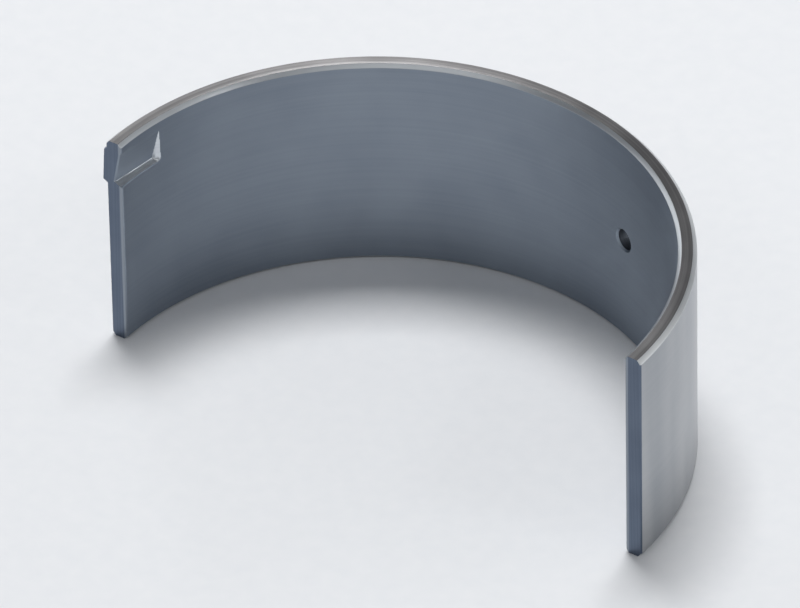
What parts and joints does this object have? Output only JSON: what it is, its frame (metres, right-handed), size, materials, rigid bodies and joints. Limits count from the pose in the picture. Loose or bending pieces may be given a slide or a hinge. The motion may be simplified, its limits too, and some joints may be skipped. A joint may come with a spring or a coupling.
{
  "type": "engine bearing shell",
  "caption": "Thin half-round plain bearing shell with chamfered rims, flat joint faces, a pressed locating lug and a small oil hole; lines half of a connecting rod's big end.",
  "frame": {"origin": "on the bearing axis, at the parting plane and at mid width", "axes": "+Z along the bearing axis and up as the shell stands on its rim, +Y from the parting plane towards the crown of the shell, +X along the parting plane away from the joint face that has the lug"},
  "size_m": [0.0514, 0.0255, 0.0194],
  "materials": {
    "bearing_strip": "satin grey lining on a bright rolled steel back, with machined rims and joint faces"
  },
  "bodies": {
    "root": {"bearing_shell": "bearing_strip"}
  },
  "joints": []
}
